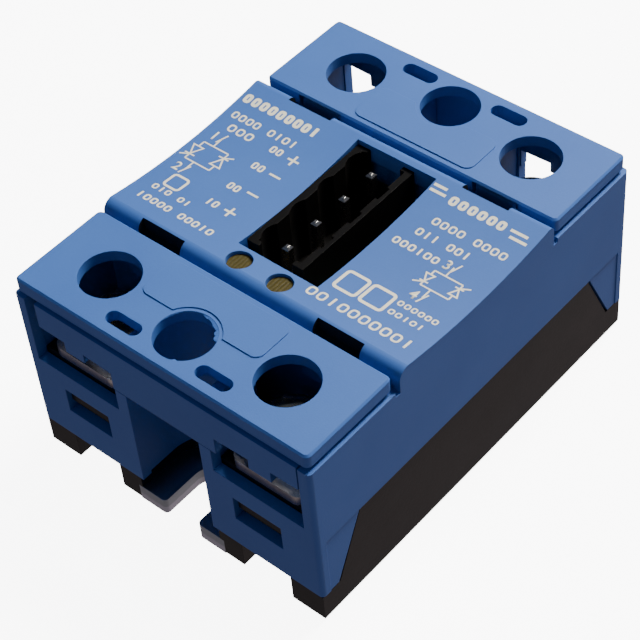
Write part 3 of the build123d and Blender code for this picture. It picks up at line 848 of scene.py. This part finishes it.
def makeScrews(look):
    length = look["seat"] + look["headSunk"] - look["tip"]
    tree = threadTree(look, length)
    cutAt = (0, 0, (look["seat"] + look["seatClear"]) * mm)
    for i, (x, y) in enumerate(look["centres"], 1):
        head = bmesh.new()
        head.from_mesh(nodes[f"terminal_screw_{i}"].data)
        bmesh.ops.remove_doubles(head, verts=head.verts, dist=look["merge"] * mm)
        cut = bmesh.ops.bisect_plane(head, geom=head.verts[:] + head.edges[:] + head.faces[:],
                                     plane_co=cutAt, plane_no=(0, 0, 1), clear_inner=True)
        rim = [edge for edge in cut["geom_cut"] if isinstance(edge, bmesh.types.BMEdge)]
        bmesh.ops.contextual_create(head, geom=rim)
        thread = tree.run(f"thread{i}")
        thread.transform(Matrix.Scale(mm, 4))
        thread.transform(Matrix.Translation(Vector((x, y, look["tip"] + length / 2)) * mm))
        head.from_mesh(thread)
        bpy.data.meshes.remove(thread)
        bmesh.ops.triangulate(head, faces=[f for f in head.faces if len(f.verts) > 4])
        bmesh.ops.recalc_face_normals(head, faces=head.faces)
        piece = meshPiece(f"panScrew_{i}", head, "zinc")
        piece.data.shade_smooth()
        piece.data.set_sharp_from_angle(angle=math.radians(look["sharp"]))
        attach(piece, f"screw_{i}")
        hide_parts(f"terminal_screw_{i}")


makeScrews(screwLook)
print("stage: screws")


flashLook = {  # lengths in millimetres
    "centre": (0.0, -23.8),
    "radius": 3.74,
    "top": 28.62,
    "depth": 0.45,
    "steps": 240,
    "seed": 7,
    "thin": 0.015,          # how far the skin stands in where it is not ragged
    "swing": (0.5, 1.5),    # how much the torn edge varies
    "smooth": 0.55,         # how much each step keeps of the one before
    "blunt": 4,
    "backing": 0.03,
    "lip": 0.10,            # how far the inner edge lies below the top
    "taper": 0.04,
    "foot": 0.05,
    "lumps": [  # angle, height and half width of each ragged stretch
        (0.62, 0.50, 0.20), (0.98, 0.36, 0.22), (1.42, 0.26, 0.30),
        (-1.17, 0.22, 0.09), (2.7, 0.06, 0.25),
    ],
}


def makeFlash(look):  # a ragged skin that the mould left round the middle hole
    bm = bmesh.new()
    draw = random.Random(look["seed"])
    x0, y0 = look["centre"]
    top, bottom = look["top"], look["top"] - look["depth"]
    outer = look["radius"] + look["backing"]
    rings = []
    torn = 1.0
    for i in range(look["steps"]):
        angle = 2 * math.pi * i / look["steps"]
        torn = look["smooth"] * torn + (1.0 - look["smooth"]) * draw.uniform(*look["swing"])
        lump = look["thin"]
        for where, height, width in look["lumps"]:
            away = (angle - where + math.pi) % (2 * math.pi) - math.pi
            lump += height * math.exp(-(away / width) ** look["blunt"]) * torn
        inner = look["radius"] - lump
        section = [(outer, top), (inner, top - look["lip"]),
                   (inner + look["taper"], bottom), (outer, bottom - look["foot"])]
        rings.append([bm.verts.new(((x0 + r * math.cos(angle)) * mm,
                                    (y0 + r * math.sin(angle)) * mm, z * mm))
                      for r, z in section])
    for i, ring in enumerate(rings):
        after = rings[(i + 1) % len(rings)]
        for k in range(len(ring)):
            m = (k + 1) % len(ring)
            bm.faces.new((ring[k], ring[m], after[m], after[k]))
    bmesh.ops.recalc_face_normals(bm, faces=bm.faces)
    piece = meshPiece("holeFlash", bm, "blue")
    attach(piece, "front_flap")


makeFlash(flashLook)
print("stage: hole flash")


viewFrom = {
    "place": (114.99, -118.96, 185.37),         # millimetres
    "right": (0.75969, 0.64651, -0.06992),
    "up": (-0.43461, 0.58477, 0.68495),
    "back": (0.48372, -0.48996, 0.72523),
    "lens": 110.3,
    "sensor": 36.0,
    "clip": (0.01, 10.0),
}


def setCamera(look):
    data = bpy.data.cameras.new("viewCamera")
    data.lens = look["lens"]
    data.sensor_width = look["sensor"]
    data.clip_start, data.clip_end = look["clip"]
    camera = showObject("viewCamera", data)
    turn = Matrix((look["right"], look["up"], look["back"])).transposed()
    camera.matrix_world = Matrix.Translation(Vector(look["place"]) * mm) @ turn.to_4x4()
    bpy.context.scene.camera = camera


studio = {  # lengths in metres
    "floorColour": (0.90, 0.90, 0.90),
    "floorRoughness": 0.85,
    "floorGlow": 8.0,
    "cove": [  # radius, height
        (0.9, -0.0003), (1.2, -0.0003), (1.45, 0.03), (1.65, 0.12),
        (1.8, 0.30), (1.9, 0.60), (1.95, 1.7),
    ],
    "coveSteps": 72,
    "sky": (0.62, 0.80, 1.30),
    "skyStrength": 0.14,
    "table": (1.0, 0.84, 0.82),     # what the walls see below them
    "tableStrength": 0.27,
    "tableBehind": 0.30,            # added towards the back
    "horizon": (-0.08, 0.12),
    "behind": (-0.2, 0.7),
    "lamps": [  # name, place, aimed at, size, watts, colour
        ("keyPanel", (0.05, 0.37, 0.50), (0.0, 0.0, 0.02), 0.22, 7.1, (1.0, 0.99, 0.97)),
        ("frontPanel", (-0.10, -0.60, 0.20), (0.0, 0.0, 0.015), 0.40, 0.20, (0.8, 0.85, 1.0)),
        ("sidePanel", (0.52, 0.20, 0.10), (0.0, 0.0, 0.015), 0.40, 0.22, (1.0, 0.85, 0.85)),
    ],
}


class Surround(Book):  # a dim cool sky over a warm grey table
    def __init__(self, look):
        self.world = bpy.data.worlds.new("studioWorld")
        self.world.use_nodes = True
        self.tree = self.world.node_tree
        way = self.node("ShaderNodeTexCoord", None, None, "Generated")
        below = (0.0 - self.part(way, "Z")).held(*look["horizon"])
        behind = self.part(way, "Y").held(*look["behind"])
        colour = self.blend(below, look["sky"], look["table"])
        table = look["tableStrength"] + behind * look["tableBehind"]
        strength = look["skyStrength"] + below * (table - look["skyStrength"])
        backdrop = self.tree.nodes["Background"]
        self.tree.links.new(colour.socket, backdrop.inputs["Color"])
        self.tree.links.new(strength.socket, backdrop.inputs["Strength"])


def setFloor(look):
    bm = bmesh.new()
    steps = look["coveSteps"]
    turns = [2 * math.pi * i / steps for i in range(steps)]
    rings = [[bm.verts.new((radius * math.cos(turn), radius * math.sin(turn), height))
              for turn in turns] for radius, height in look["cove"]]
    bm.faces.new(rings[0])
    for inner, outer in zip(rings, rings[1:]):
        for i in range(steps):
            after = (i + 1) % steps
            bm.faces.new((inner[i], outer[i], outer[after], inner[after]))
    mesh = bpy.data.meshes.new("floor")
    bm.to_mesh(mesh)
    bm.free()
    mesh.shade_smooth()
    paint = Paint("floorPaper", Base_Color=rgba(look["floorColour"]),
                  Roughness=look["floorRoughness"], Emission_Color=(1.0, 1.0, 1.0, 1.0),
                  Emission_Strength=look["floorGlow"])
    paint.clearFromBehind()
    mesh.materials.append(paint.material)
    floor = showObject("floor", mesh)
    floor.visible_diffuse = False       # the surround's table colour lights the walls instead
    floor.visible_glossy = False
    floor.visible_shadow = False


def setLamps(look):
    for name, place, target, size, watts, colour in look["lamps"]:
        data = bpy.data.lights.new(name, "AREA")
        data.shape = "DISK"
        data.size = size
        data.energy = watts
        data.color = colour
        aim = (Vector(target) - Vector(place)).to_track_quat("-Z", "Y").to_matrix()
        showObject(name, data).matrix_world = Matrix.Translation(place) @ aim.to_4x4()


setCamera(viewFrom)
bpy.context.scene.world = Surround(studio).world
setFloor(studio)
setLamps(studio)
print("stage: camera, floor and light")
